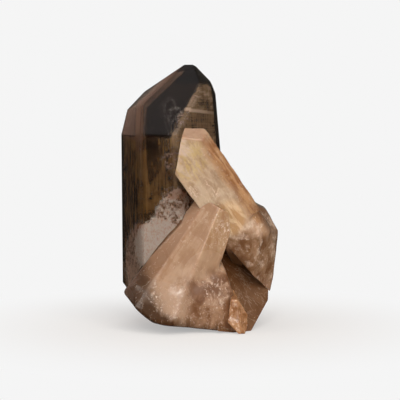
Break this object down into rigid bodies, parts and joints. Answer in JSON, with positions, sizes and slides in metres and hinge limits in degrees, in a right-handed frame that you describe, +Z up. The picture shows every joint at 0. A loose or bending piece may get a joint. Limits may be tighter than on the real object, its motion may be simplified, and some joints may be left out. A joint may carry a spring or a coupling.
{
  "type": "quartz crystal cluster",
  "caption": "Smoky quartz point with smaller milky points grown onto its front and a broken, iron-stained foot that it stands on",
  "frame": {"origin": "middle of the specimen's footprint box, on the surface that it stands on", "axes": "+Z up along the tall point, -Y towards the side with the leaning milky point, +X to the right of it"},
  "size_m": [0.0643, 0.0598, 0.1058],
  "materials": {
    "quartz": "clear smoky to milky, natural crystal faces and broken surfaces"
  },
  "bodies": {
    "root": {"quartz_cluster": "quartz"}
  },
  "joints": []
}
